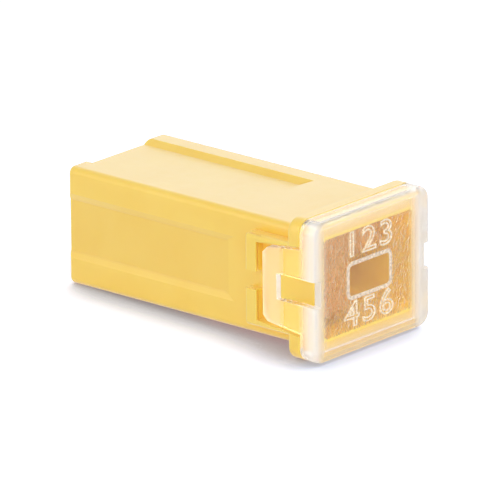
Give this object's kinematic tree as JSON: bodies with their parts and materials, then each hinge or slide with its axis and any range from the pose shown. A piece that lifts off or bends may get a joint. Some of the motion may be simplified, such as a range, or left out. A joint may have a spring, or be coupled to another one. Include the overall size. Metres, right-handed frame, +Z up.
{
  "type": "automotive cartridge fuse",
  "caption": "Female cartridge fuse for a vehicle fuse box: moulded housing with blade mouths at one end, a flange and a clear cap with a view of the copper link at the other.",
  "frame": {"origin": "middle of the length and of the width, on the plane of the lower edge of the flange and the cap", "axes": "+X along the fuse from the blade mouths to the clear cap, +Y across the wide direction, +Z up through the narrow direction"},
  "size_m": [0.028, 0.0144, 0.0121],
  "materials": {
    "housing_plastic": "pale yellow moulded plastic, satin",
    "clear_plastic": "clear moulded plastic, with a frosted field on the front panel",
    "copper_alloy": "bare rolled copper alloy strip",
    "tin": "dull tin"
  },
  "bodies": {
    "root": {"housing": "housing_plastic", "clear_cap": "clear_plastic", "fuse_element": "copper_alloy", "tin_pellet": "tin"}
  },
  "joints": []
}
